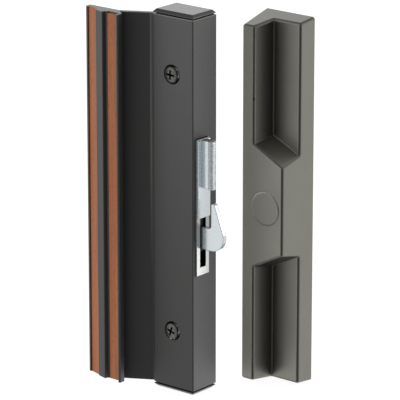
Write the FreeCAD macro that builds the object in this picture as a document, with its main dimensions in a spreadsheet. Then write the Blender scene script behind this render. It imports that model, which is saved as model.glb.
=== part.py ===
"""Sliding patio door handle: an extruded inside handle with a thumb-slide hook latch, and its outside pull.

Frame, in millimetres: X runs across the wide face towards the jamb, Y from the room to the door and Z up.
The origin lies on the door plane, midway between the two mounting screws. The outside pull stands beside
the inside handle, its front turned the same way.
"""
import FreeCAD, Part
import math
import os
import re

import Sketcher
from FreeCAD import Placement, Rotation, Vector

# Driving dimensions: alias, value in millimetres or degrees, what it measures
DIMENSIONS = (
    ("handle_length", 180.6, "length of the extrusion"),
    ("box_width", 24.2, "wide face of the box channel"),
    ("box_depth", 17.0, "box channel, wide face to door plane"),
    ("front_wall", 1.6, "wall behind the wide face"),
    ("side_wall", 2.0, "the two legs of the channel"),
    ("edge_round", 0.6, "outer edges of the extrusion"),
    ("screw_inset", 13.1, "screw line, from the jamb face"),
    ("screw_spacing", 125.4, "distance between the two screws"),
    ("ledge_drop", 1.0, "ledge beside the wide face, set back"),
    ("ledge_width", 1.2, "width of that ledge"),
    ("web_run", 13.4, "slanting web, across"),
    ("web_rise", 7.6, "slanting web, towards the room"),
    ("web_thick", 2.0, "thickness of the web"),
    ("web_round", 3.5, "bend from web to grip, at the back"),
    ("grip_gap", 10.6, "box side to the grip's inner lip"),
    ("grip_proud", 12.5, "inner lip in front of the wide face"),
    ("grip_back", 5.2, "back of the grip in front of the wide face"),
    ("lip_width", 1.1, "inner lip of the grip"),
    ("lip_edge", 3.2, "height of the inner lip's edge"),
    ("strip_sink", 2.1, "inner strip's face below the lip"),
    ("strip_width", 6.8, "both wood-tone strips"),
    ("strip_thick", 0.9, "both wood-tone strips"),
    ("strip_gap", 0.1, "clearance round each strip"),
    ("strip_short", 0.8, "inner strip below the top end of the extrusion"),
    ("rib_foot", 1.0, "flat beside the inner strip"),
    ("rib_lean", 0.7, "lean of the rib's dark side"),
    ("rib_rise", 1.8, "height of the rib's dark side"),
    ("rib_width", 5.3, "face of the rib between the strips"),
    ("outer_tilt", 16.0, "slope of the outer half of the grip, degrees"),
    ("outer_sink", 0.6, "outer strip's face below its lips"),
    ("outer_lip", 1.5, "outer lip of the grip"),
    ("stop_width", 1.6, "rib inside the channel that backs the latch case"),
    ("stop_height", 1.6, "height of that rib"),
    ("sink_radius", 4.8, "mouth of the countersunk screw holes"),
    ("sink_throat", 3.2, "countersunk holes at the inner face"),
    ("hole_shift_x", 0.45, "holes beside the screws, across"),
    ("hole_shift_z", 0.2, "holes beside the screws, up"),
    ("cap_height", 2.3, "end cap outside the extrusion"),
    ("cap_chamfer", 1.2, "chamfer round the end cap"),
    ("cap_inset", 0.2, "end cap inside the box outline"),
    ("cap_neck", 0.7, "neck under the end cap's plate"),
    ("neck_inset", 1.1, "neck inside the plate"),
    ("lug_length", 8.0, "cap lugs inside the channel"),
    ("lug_width", 5.6, "cap lugs, across"),
    ("lug_wall", 1.5, "wall of the cap lugs"),
    ("lug_gap", 0.1, "clearance of the cap lugs"),
    ("head_radius", 4.2, "rim of the screw head"),
    ("head_dome", 0.8, "crown of the head in front of the wide face"),
    ("head_flat", 1.9, "flat crown of the head"),
    ("shank_radius", 2.1, "screw shank"),
    ("screw_length", 28.6, "rim of the head to the tip"),
    ("tip_chamfer", 0.6, "end of the shank"),
    ("cross_width", 1.0, "slots of the cross recess"),
    ("cross_length", 4.6, "slots of the cross recess"),
    ("cross_depth", 1.5, "slots of the cross recess"),
    ("upper_turn", 3.0, "turn of the upper cross, degrees"),
    ("lower_turn", 17.0, "turn of the lower cross, degrees"),
    ("case_width", 9.0, "latch case, wide face to door"),
    ("case_length", 66.4, "raised part of the case, in the cut-out"),
    ("case_gap", 0.15, "clearance of the case in the extrusion"),
    ("case_sheet", 0.9, "sheet of the case"),
    ("case_proud", 0.9, "case front outside the jamb face"),
    ("case_depth", 7.6, "case flanges behind the jamb face"),
    ("ear_length", 7.0, "ears of the case behind the wall"),
    ("slot_gap", 0.15, "thumb tab to the sides of the guide slot"),
    ("slot_margin", 1.0, "spare length at each end of the slot"),
    ("latch_travel", 8.0, "travel of the latch, down from locked"),
    ("slide_gap", 0.1, "running clearance of the slide"),
    ("slide_sheet", 0.8, "plate of the slide"),
    ("slide_width", 8.6, "plate of the slide"),
    ("slide_lift", 4.6, "slide plate above the hook's arm"),
    ("tab_drop", 0.3, "top of the thumb tab below the end of the case"),
    ("tab_height", 22.8, "thumb tab at its root"),
    ("tab_flare", 0.6, "thumb tab, longer at its outer edge"),
    ("tab_thick", 3.9, "thumb tab"),
    ("tab_reach", 7.9, "thumb tab outside the jamb face"),
    ("tab_nose", 1.6, "rounded outer edge of the thumb tab"),
    ("tongue_inset", 3.0, "tongue inside the two ends of the thumb tab"),
    ("keeper_sheet", 0.9, "keeper plate behind the case front"),
    ("keeper_side", 0.3, "keeper's clearance to the flanges"),
    ("keeper_margin", 1.6, "keeper past the hook and the tongue"),
    ("hook_thick", 2.3, "hook plate"),
    ("hook_lift", 12.9, "lower edge of the hook above the end of the case"),
    ("hook_arm", 10.8, "height of the hook's arm"),
    ("hook_tip", 12.3, "tip of the hook above its arm"),
    ("hook_throat", 6.65, "inner edge of the hook from the jamb face"),
    ("hook_lean", 0.05, "lean of the inner edge"),
    ("tip_width", 1.8, "tip of the hook"),
    ("hook_foot", 17.05, "meeting of the outer and lower edges"),
    ("hook_round", 7.0, "rounded foot of the hook"),
    ("throat_round", 1.5, "bottom of the hook's throat"),
    ("tip_round", 0.8, "corners of the hook's tip"),
    ("tenon_step", 1.5, "shoulders of the two tenons"),
    ("tenon_end", 0.7, "staked ends of the tenons"),
    ("stake_gap", 0.05, "tenons in their holes"),
    ("spring_sheet", 0.4, "friction spring strip"),
    ("spring_width", 5.0, "friction spring strip"),
    ("spring_drop", 1.5, "middle of the spring, below middle"),
    ("spring_crown", 8.0, "flat crown of the spring"),
    ("spring_leg", 17.0, "sloping legs of the spring, along the slot"),
    ("spring_rise", 5.1, "sloping legs of the spring, inwards"),
    ("spring_foot", 2.5, "feet of the spring"),
    ("pull_x", 42.8, "pull's inner side from the screw line"),
    ("pull_y", 12.5, "pull's front behind the door plane"),
    ("pull_length", 179.3, "pull at its back"),
    ("pull_width", 29.1, "pull at its back"),
    ("pull_front", 24.2, "width of the pull's front"),
    ("pull_depth", 23.6, "pull, front to back"),
    ("pull_rake", 6.1, "rake of the pull's ends, degrees"),
    ("pull_rib", 7.0, "grip rib of the pull at its front"),
    ("pull_round", 1.4, "outer edges of the pull"),
    ("pull_wall", 2.6, "walls round the pull's hollow back"),
    ("recess_depth", 13.0, "finger recesses from the front"),
    ("recess_round", 0.5, "inner corner of the recesses"),
    ("recess_draft", 6.4, "draft of the recess wall, degrees"),
    ("block_length", 42.9, "middle block between the recesses"),
    ("ramp_side", 26.7, "recess ramp, across, degrees"),
    ("ramp_back", 12.8, "recess ramp, front to back, degrees"),
    ("knock_radius", 8.0, "scored circle on the middle block"),
    ("knock_inset", 10.2, "its centre from the pull's inner side"),
    ("score_radius", 0.25, "section of the scored line"),
    ("boss_radius", 4.8, "screw bosses in the pull"),
    ("tap_radius", 1.75, "tapped holes in the bosses"),
    ("tap_depth", 8.0, "tapped holes in the bosses"),
)
ALIASES = {alias for alias, _, _ in DIMENSIONS}

# Places that several pieces share
BOX_LEFT = "(screw_inset - box_width)"
LATCH_MID = "(front_wall + case_gap + case_width/2 - box_depth)"
CASE_INNER = "(case_proud - case_sheet)"
SLIDE_INNER = "(case_proud + slide_gap)"
SLIDE_OUTER = "(case_proud + slide_gap + slide_sheet)"
KEEPER_OUTER = "(case_proud - case_sheet - slide_gap)"
KEEPER_INNER = "(case_proud - case_sheet - slide_gap - keeper_sheet)"
TENON_END = "(case_proud - case_sheet - slide_gap - keeper_sheet - tenon_end)"
SLOT_HALF = "(tab_thick/2 + slot_gap)"
TAB_TOP = "(case_length/2 - tab_drop)"
TAB_LOW = "(case_length/2 - tab_drop - tab_height)"
TONGUE_TOP = f"({TAB_TOP} - tongue_inset)"
TONGUE_LOW = f"({TAB_LOW} + tongue_inset)"
HOOK_LOW = "(hook_lift - case_length/2)"
ARM_TOP = f"({HOOK_LOW} + hook_arm)"
SLIDE_LOW = f"({ARM_TOP} + slide_lift)"
RECESS_WALL = "(pull_front - pull_rib)"
SPARE = 2.0  # how far cuts run past the faces that they open
ENDS = (("upper", ""), ("lower", "-"))
CLOSE = 1e-4  # how near a corner lies to the face that it is on

doc = FreeCAD.newDocument("patio_door_handle")
sheet = doc.addObject("Spreadsheet::Sheet", "dims")
for row, (alias, size, note) in enumerate(DIMENSIONS, start=1):
    sheet.set(f"A{row}", note)
    sheet.set(f"B{row}", str(size))
    sheet.setAlias(f"B{row}", alias)
doc.recompute()


def cells(expression):
    """The expression with each alias turned into a reference to its cell."""
    return re.sub(r"[a-z][a-z_]*", lambda m: "dims." + m[0] if m[0] in ALIASES else m[0], expression)


def bind(item, **sizes):
    """Binds each named property of the item to an expression of the cells."""
    for name, expression in sizes.items():
        item.setExpression(name, cells(expression))


def new_body(label, x="0", y="0", z="0", turn=None):
    """An empty body with its label and its place; turn is an axis and an angle."""
    body = doc.addObject("PartDesign::Body", label)
    body.Label = label
    if turn:
        body.Placement = Placement(Vector(), Rotation(*turn))
    for axis, expression in zip("xyz", (x, y, z)):
        body.setExpression(f"Placement.Base.{axis}", cells(expression))
    return body


def origin_plane(body, role):
    """One of the body's own origin planes."""
    return next(item for item in body.Origin.OriginFeatures if item.Role == role)


def outline(body, name, role, corners, offset="0"):
    """A closed sketch of straight edges; each named corner is held at two expressions of the cells."""
    sketch = body.newObject("Sketcher::SketchObject", name)
    sketch.AttachmentSupport = [(origin_plane(body, role), "")]
    sketch.MapMode = "FlatFace"
    sketch.setExpression("AttachmentOffset.Base.z", cells(offset))
    count = len(corners)
    turns = [2 * math.pi * i / count for i in range(count)]
    start = [Vector(math.cos(turn), math.sin(turn), 0) for turn in turns]
    sketch.addGeometry([Part.LineSegment(start[i], start[(i + 1) % count]) for i in range(count)])
    for i in range(count):
        sketch.addConstraint(Sketcher.Constraint("Coincident", i, 2, (i + 1) % count, 1))
    for i, place in enumerate(corners.values()):
        for kind, expression, begin in zip(("DistanceX", "DistanceY"), place, start[i]):
            index = sketch.addConstraint(Sketcher.Constraint(kind, -1, 1, i, 1, begin))
            sketch.setExpression(f"Constraints[{index}]", cells(expression))
    return sketch


def rectangle(body, name, role, x_range, y_range, offset="0"):
    """A rectangle sketch between two pairs of expressions."""
    (left, right), (low, high) = x_range, y_range
    corners = {"a": (left, low), "b": (right, low), "c": (right, high), "d": (left, high)}
    return outline(body, name, role, corners, offset)


def extrude(body, kind, name, sketch, length, both=False, flip=False):
    """A Pad or a Pocket of the sketch."""
    feature = body.newObject(f"PartDesign::{kind}", name)
    feature.Profile = sketch
    feature.SideType = "Symmetric" if both else "One side"
    feature.Reversed = flip
    bind(feature, Length=length)
    return feature


def primitive(body, kind, name, sizes, place, turn):
    """A primitive added to or cut from the body, at a place given by expressions."""
    feature = body.newObject(f"PartDesign::{kind}", name)
    bind(feature, **sizes)
    feature.Placement = Placement(Vector(), Rotation(*turn))
    for axis, expression in zip("xyz", place):
        feature.setExpression(f"Placement.Base.{axis}", cells(expression))
    return feature


def corner_edges(feature, sketch, corners, names):
    """The feature's straight edges that run through the named corners of its sketch, along its normal."""
    doc.recompute()
    normal = sketch.Placement.Rotation.multVec(Vector(0, 0, 1))
    order = list(corners)
    places = [sketch.Placement.multVec(sketch.Geometry[order.index(name)].StartPoint) for name in names]
    found = []
    for index, edge in enumerate(feature.Shape.Edges, start=1):
        if not isinstance(edge.Curve, Part.Line) or edge.Curve.Direction.cross(normal).Length > CLOSE:
            continue
        foot = edge.Vertexes[0].Point
        if any((foot - place).cross(normal).Length < CLOSE for place in places):
            found.append(f"Edge{index}")
    return found


def edges_where(feature, test):
    """The feature's edges whose ends all pass the test."""
    doc.recompute()
    return [f"Edge{index}" for index, edge in enumerate(feature.Shape.Edges, start=1)
            if all(test(vertex.Point) for vertex in edge.Vertexes)]


def fillet(body, name, base, edges, radius):
    """Rounds the listed edges of the base feature."""
    feature = body.newObject("PartDesign::Fillet", name)
    feature.Base = (base, edges)
    bind(feature, Radius=radius)
    doc.recompute()
    return feature


def fillet_corners(body, base, sketch, corners, rounds):
    """Rounds a prism's corner edges, one fillet for each radius."""
    for number, (radius, names) in enumerate(rounds):
        edges = corner_edges(base, sketch, corners, names)
        base = fillet(body, f"{base.Name}_round{number}", base, edges, radius)
    return base


# Inside handle


def make_extrusion():
    """The one-piece section: box channel, slanting web and grip, with its cut-outs."""
    body = new_body("handle_extrusion")
    ledge_x = f"({BOX_LEFT} - ledge_width)"
    ledge_y = "(ledge_drop - box_depth)"
    slant = "sqrt(web_run*web_run + web_rise*web_rise)"
    web_back = f"({ledge_y} + ledge_width*web_rise/web_run + web_thick*{slant}/web_run)"
    grip_back_y = "(-box_depth - grip_back)"
    grip_back_x = f"({ledge_x} + ({grip_back_y} - {ledge_y})*web_run/web_rise - web_thick*{slant}/web_rise)"
    lip_x = f"({BOX_LEFT} - grip_gap)"
    lip_y = "(-box_depth - grip_proud)"
    bed_x = f"({lip_x} - lip_width)"
    foot_x = f"({bed_x} - strip_width - 2*strip_gap)"
    strip_y = f"({lip_y} + strip_sink)"
    rib_x = f"({foot_x} - rib_foot - rib_lean)"
    rib_y = f"({strip_y} - rib_rise)"
    bed_depth = "(outer_sink + strip_thick + strip_gap)"

    def outer(along, deep):
        """A point on the sloping outer half of the grip."""
        return (f"{rib_x} - ({along})*cos(outer_tilt) + ({deep})*sin(outer_tilt)",
                f"{rib_y} + ({along})*sin(outer_tilt) + ({deep})*cos(outer_tilt)")

    bed_far = "rib_width + strip_width + 2*strip_gap"
    end_x, end_y = outer(f"{bed_far} + outer_lip", "0")
    stop_x = "(screw_inset - case_depth - case_gap)"
    inner_y = "front_wall - box_depth"
    corners = {
        "jamb_back": ("screw_inset", "0"),
        "jamb_front": ("screw_inset", "-box_depth"),
        "face_left": (BOX_LEFT, "-box_depth"),
        "ledge_in": (BOX_LEFT, ledge_y),
        "ledge_out": (ledge_x, ledge_y),
        "web_top": (f"{ledge_x} - web_run", f"{ledge_y} - web_rise"),
        "lip_back": (lip_x, f"{lip_y} + lip_edge"),
        "lip_front": (lip_x, lip_y),
        "lip_inner": (bed_x, lip_y),
        "bed_right": (bed_x, f"{strip_y} + strip_thick + strip_gap"),
        "bed_left": (foot_x, f"{strip_y} + strip_thick + strip_gap"),
        "foot_right": (foot_x, strip_y),
        "foot_left": (f"{foot_x} - rib_foot", strip_y),
        "rib_front": (rib_x, rib_y),
        "outer_near": outer("rib_width", "0"),
        "outer_bed_near": outer("rib_width", bed_depth),
        "outer_bed_far": outer(bed_far, bed_depth),
        "outer_far": outer(bed_far, "0"),
        "grip_end": (end_x, end_y),
        "grip_end_back": (end_x, grip_back_y),
        "grip_web_back": (grip_back_x, grip_back_y),
        "web_box_back": (BOX_LEFT, web_back),
        "leg_back": (BOX_LEFT, "0"),
        "leg_inner": (f"{BOX_LEFT} + side_wall", "0"),
        "inner_left": (f"{BOX_LEFT} + side_wall", inner_y),
        "stop_left": (f"{stop_x} - stop_width", inner_y),
        "stop_left_top": (f"{stop_x} - stop_width", f"{inner_y} + stop_height"),
        "stop_right_top": (stop_x, f"{inner_y} + stop_height"),
        "stop_right": (stop_x, inner_y),
        "inner_right": ("screw_inset - side_wall", inner_y),
        "jamb_inner": ("screw_inset - side_wall", "0"),
    }
    profile = outline(body, "section", "XY_Plane", corners)
    bar = extrude(body, "Pad", "bar", profile, "handle_length", both=True)
    rounds = (
        ("edge_round", ("jamb_front", "face_left", "lip_front", "lip_back", "rib_front", "grip_end")),
        ("grip_back/4", ("grip_end_back",)),
        ("web_round", ("grip_web_back",)),
        ("web_thick/2", ("web_box_back",)),
    )
    fillet_corners(body, bar, profile, corners, rounds)
    window = rectangle(body, "latch_window", "YZ_Plane",
                       (inner_y, f"{inner_y} + case_width + 2*case_gap"),
                       ("-case_length/2 - case_gap", "case_length/2 + case_gap"),
                       "screw_inset - 1.5*side_wall")
    extrude(body, "Pocket", "latch_cutout", window, "2*side_wall", flip=True)
    for name, sign in ENDS:
        primitive(body, "SubtractiveCone", f"{name}_countersink",
                  {"Radius1": "sink_radius", "Radius2": "sink_throat", "Height": "front_wall"},
                  ("hole_shift_x", "-box_depth", f"hole_shift_z + {sign}screw_spacing/2"),
                  (Vector(1, 0, 0), -90))
    return body


def make_cap(label, end, turn):
    """An end cap: a chamfered plate on a narrower neck, with two hollow lugs that fill the channel's end."""
    body = new_body(label, f"{BOX_LEFT} + box_width/2", "0", f"{end}handle_length/2", turn)
    half = "(box_width/2 - cap_inset)"
    corners = {
        "left_front": (f"-{half}", "cap_inset - box_depth"),
        "right_front": (half, "cap_inset - box_depth"),
        "right_back": (half, "-cap_inset"),
        "left_back": (f"-{half}", "-cap_inset"),
    }
    plate = outline(body, f"{label}_outline", "XY_Plane", corners, "cap_neck")
    extrude(body, "Pad", f"{label}_plate", plate, "cap_height - cap_neck")
    neck_half = "(box_width/2 - cap_inset - neck_inset)"
    neck = rectangle(body, f"{label}_neck_outline", "XY_Plane", (f"-{neck_half}", neck_half),
                     ("cap_inset + neck_inset - box_depth", "-cap_inset"))
    extrude(body, "Pad", f"{label}_neck", neck, "cap_neck")
    for name, side in (("left", "-"), ("right", "")):
        outer = f"{side}(box_width/2 - side_wall - lug_gap)"
        wall = f"{side}(box_width/2 - side_wall - lug_gap - lug_wall)"
        inner = f"{side}(box_width/2 - side_wall - lug_gap - lug_width)"
        front = "front_wall + lug_gap - box_depth"
        lug = outline(body, f"{label}_{name}_lug_outline", "XY_Plane", {
            "a": (outer, front),
            "b": (inner, front),
            "c": (inner, f"{front} + lug_wall"),
            "d": (wall, f"{front} + lug_wall"),
            "e": (wall, "-cap_inset - lug_wall"),
            "f": (inner, "-cap_inset - lug_wall"),
            "g": (inner, "-cap_inset"),
            "h": (outer, "-cap_inset"),
        })
        extrude(body, "Pad", f"{label}_{name}_lug", lug, "lug_length", flip=True)
    chamfer = body.newObject("PartDesign::Chamfer", f"{label}_chamfer")
    lugs = chamfer.BaseFeature
    chamfer.Base = (lugs, edges_where(lugs, lambda corner: corner.z > sheet.get("cap_height") - CLOSE))
    bind(chamfer, Size="cap_chamfer")
    return body


def make_inner_strip():
    """The wood-tone strip that lies in the grip beside its inner lip."""
    bed_x = f"({BOX_LEFT} - grip_gap - lip_width)"
    body = new_body("inner_wood_strip", bed_x, "strip_sink - box_depth - grip_proud")
    section = rectangle(body, "inner_strip_section", "XY_Plane",
                        ("-strip_gap - strip_width", "-strip_gap"), ("0", "strip_thick"), "-handle_length/2")
    extrude(body, "Pad", "inner_strip_bar", section, "handle_length - strip_short")
    return body


def make_outer_strip():
    """The wood-tone strip on the sloping outer half of the grip."""
    rib_x = f"({BOX_LEFT} - grip_gap - lip_width - strip_width - 2*strip_gap - rib_foot - rib_lean)"
    body = new_body("outer_wood_strip", rib_x, "strip_sink - box_depth - grip_proud - rib_rise")

    def place(along, deep):
        """A point along and below the sloping face."""
        return (f"({deep})*sin(outer_tilt) - ({along})*cos(outer_tilt)",
                f"({deep})*cos(outer_tilt) + ({along})*sin(outer_tilt)")

    near = "rib_width + strip_gap"
    far = "rib_width + strip_gap + strip_width"
    section = outline(body, "outer_strip_section", "XY_Plane", {
        "a": place(near, "outer_sink"),
        "b": place(near, "outer_sink + strip_thick"),
        "c": place(far, "outer_sink + strip_thick"),
        "d": place(far, "outer_sink"),
    })
    extrude(body, "Pad", "outer_strip_bar", section, "handle_length", both=True)
    return body


def make_screw(label, side, turn):
    """A cross-recessed machine screw with a raised countersunk head; its axis lies along Y."""
    body = new_body(label, "0", "-box_depth", f"{side}screw_spacing/2", (Vector(0, 1, 0), sheet.get(turn)))
    body.setExpression("Placement.Rotation.Angle", cells(turn))
    half = outline(body, f"{label}_half", "XY_Plane", {
        "crown": ("0", "-head_dome"),
        "crown_rim": ("head_flat", "-head_dome"),
        "rim": ("head_radius", "-head_dome/6"),
        "rim_back": ("head_radius", "0"),
        "neck": ("shank_radius", "head_radius - shank_radius"),
        "shank_end": ("shank_radius", "screw_length - tip_chamfer"),
        "tip": ("shank_radius - tip_chamfer", "screw_length"),
        "axis_end": ("0", "screw_length"),
    })
    turned = body.newObject("PartDesign::Revolution", f"{label}_turned")
    turned.Profile = half
    turned.ReferenceAxis = (half, ["V_Axis"])
    turned.Angle = 360.0
    slots = (("upright", "cross_width", "cross_length"), ("level", "cross_length", "cross_width"))
    for name, across, tall in slots:
        primitive(body, "SubtractiveBox", f"{label}_{name}_slot",
                  {"Length": across, "Width": "4*cross_depth/3", "Height": tall},
                  (f"-{across}/2", "-head_dome - cross_depth/3", f"-{tall}/2"), (Vector(0, 1, 0), 0))
    return body


# Latch


def make_case():
    """The pressed case: a channel whose middle is raised through the cut-out, with a guide slot."""
    body = new_body("latch_case", "screw_inset", LATCH_MID)
    wide = ("-case_width/2", "case_width/2")
    clear = ("case_sheet - case_width/2", "case_width/2 - case_sheet")
    ear_front = "-side_wall - case_gap"
    ears = rectangle(body, "case_channel", "XY_Plane", ("-case_depth", ear_front), wide)
    extrude(body, "Pad", "channel", ears, "case_length + 2*ear_length", both=True)
    raised = rectangle(body, "case_raised", "XY_Plane", ("-case_depth", "case_proud"), wide)
    extrude(body, "Pad", "raised", raised, "case_length", both=True)
    past = f"-case_depth - {SPARE}"
    hollow = rectangle(body, "case_hollow", "XY_Plane", (past, CASE_INNER), clear)
    extrude(body, "Pocket", "hollow", hollow, "case_length - 2*case_sheet", both=True)
    through = rectangle(body, "case_through", "XY_Plane", (past, f"{ear_front} - case_sheet"), clear)
    extrude(body, "Pocket", "through", through, f"case_length + 2*ear_length + {SPARE}", both=True)
    slot = rectangle(body, "case_slot", "YZ_Plane", (f"-{SLOT_HALF}", SLOT_HALF),
                     (f"{HOOK_LOW} - latch_travel - slot_margin", f"{TONGUE_TOP} + slot_margin"),
                     f"{CASE_INNER} - case_sheet/2")
    extrude(body, "Pocket", "guide_slot", slot, "2*case_sheet", flip=True)
    knee = "(spring_crown/2 + spring_leg)"
    end = "(spring_crown/2 + spring_leg + spring_foot)"
    seat_x = f"({KEEPER_INNER} - 2*slide_gap - spring_rise - spring_sheet)"
    for name, sign in ENDS:
        seat = rectangle(body, f"case_{name}_seat", "XZ_Plane", (f"{seat_x} - case_sheet", seat_x),
                         (f"{sign}{knee} - spring_drop", f"{sign}{end} - spring_drop"))
        extrude(body, "Pad", f"{name}_seat", seat, "case_width - case_sheet", both=True)
    return body


def make_slide():
    """The outer slide: a plate over the case front, a thumb tab and its tongue through the guide slot."""
    body = new_body("latch_slide", "screw_inset", LATCH_MID)
    plate = rectangle(body, "slide_plate", "XY_Plane", (SLIDE_INNER, SLIDE_OUTER),
                      ("-slide_width/2", "slide_width/2"), SLIDE_LOW)
    extrude(body, "Pad", "plate", plate, f"{TAB_TOP} - {SLIDE_LOW}")
    profile = outline(body, "thumb_tab", "XZ_Plane", {
        "tenon_low": (TENON_END, f"{TONGUE_LOW} + tenon_step"),
        "shoulder_low": (KEEPER_OUTER, f"{TONGUE_LOW} + tenon_step"),
        "tongue_low": (KEEPER_OUTER, TONGUE_LOW),
        "tongue_root_low": (SLIDE_INNER, TONGUE_LOW),
        "root_low": (SLIDE_INNER, TAB_LOW),
        "edge_low": ("tab_reach", f"{TAB_LOW} - tab_flare"),
        "edge_top": ("tab_reach", TAB_TOP),
        "root_top": (SLIDE_INNER, TAB_TOP),
        "tongue_root_top": (SLIDE_INNER, TONGUE_TOP),
        "tongue_top": (KEEPER_OUTER, TONGUE_TOP),
        "shoulder_top": (KEEPER_OUTER, f"{TONGUE_TOP} - tenon_step"),
        "tenon_top": (TENON_END, f"{TONGUE_TOP} - tenon_step"),
    })
    tab = extrude(body, "Pad", "tab", profile, "tab_thick", both=True)
    reach = sheet.get("tab_reach")
    nose = [name for side in (1, -1)
            for name in edges_where(tab, lambda corner: corner.x > reach - CLOSE and corner.y * side > 0)]
    fillet(body, "tab_nose_round", tab, nose, "tab_nose")
    return body


def make_keeper():
    """The plate behind the case front that holds the slide and carries the hook."""
    body = new_body("slide_keeper", "screw_inset", LATCH_MID)
    half = "(case_width/2 - case_sheet - keeper_side)"
    plate = rectangle(body, "keeper_plate", "YZ_Plane", (f"-{half}", half),
                      (f"{HOOK_LOW} - keeper_margin", f"{TONGUE_TOP} + keeper_margin"), KEEPER_INNER)
    extrude(body, "Pad", "keeper", plate, "keeper_sheet")
    for name, thick, low, high in (("hook", "hook_thick", HOOK_LOW, ARM_TOP),
                                   ("tab", "tab_thick", TONGUE_LOW, TONGUE_TOP)):
        tenon = rectangle(body, f"{name}_tenon_outline", "YZ_Plane",
                          (f"-{thick}/2 - stake_gap", f"{thick}/2 + stake_gap"),
                          (f"{low} + tenon_step - stake_gap", f"{high} - tenon_step + stake_gap"),
                          f"{KEEPER_INNER} - keeper_sheet")
        extrude(body, "Pocket", f"{name}_tenon_hole", tenon, "3*keeper_sheet", flip=True)
    return body


def make_hook():
    """The hook plate: an arm through the guide slot, a rounded foot and a tip that points up."""
    body = new_body("latch_hook", "screw_inset", LATCH_MID)
    tip_top = f"({ARM_TOP} + hook_tip)"
    corners = {
        "tenon_low": (TENON_END, f"{HOOK_LOW} + tenon_step"),
        "shoulder_low": (KEEPER_OUTER, f"{HOOK_LOW} + tenon_step"),
        "arm_low": (KEEPER_OUTER, HOOK_LOW),
        "foot": ("hook_foot", HOOK_LOW),
        "tip_out": ("hook_throat + hook_lean + tip_width", tip_top),
        "tip_in": ("hook_throat + hook_lean", tip_top),
        "throat": ("hook_throat", ARM_TOP),
        "arm_top": (KEEPER_OUTER, ARM_TOP),
        "shoulder_top": (KEEPER_OUTER, f"{ARM_TOP} - tenon_step"),
        "tenon_top": (TENON_END, f"{ARM_TOP} - tenon_step"),
    }
    profile = outline(body, "hook_outline", "XZ_Plane", corners)
    blade = extrude(body, "Pad", "blade", profile, "hook_thick", both=True)
    rounds = (
        ("hook_round", ("foot",)),
        ("throat_round", ("throat",)),
        ("tip_round", ("tip_out", "tip_in")),
    )
    fillet_corners(body, blade, profile, corners, rounds)
    return body


def make_spring():
    """The bowed strip that presses on the keeper and holds the slide where it is put."""
    body = new_body("friction_spring", "screw_inset", LATCH_MID, "-spring_drop")
    crown = f"({KEEPER_INNER} - slide_gap)"
    foot = f"({KEEPER_INNER} - slide_gap - spring_rise)"
    half = "spring_crown/2"
    knee = "(spring_crown/2 + spring_leg)"
    end = "(spring_crown/2 + spring_leg + spring_foot)"
    bow = ((foot, f"-{end}"), (foot, f"-{knee}"), (crown, f"-{half}"),
           (crown, half), (foot, knee), (foot, end))
    corners = {f"outer{i}": place for i, place in enumerate(bow)}
    corners |= {f"inner{i}": (f"{x} - spring_sheet", z) for i, (x, z) in reversed(list(enumerate(bow)))}
    profile = outline(body, "spring_bow", "XZ_Plane", corners)
    strip = extrude(body, "Pad", "strip", profile, "spring_width", both=True)
    rounds = (("spring_leg/3", ("outer2", "outer3", "inner2", "inner3")),
              ("spring_foot/2", ("outer1", "outer4", "inner1", "inner4")))
    fillet_corners(body, strip, profile, corners, rounds)
    return body


# Outside pull


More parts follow.
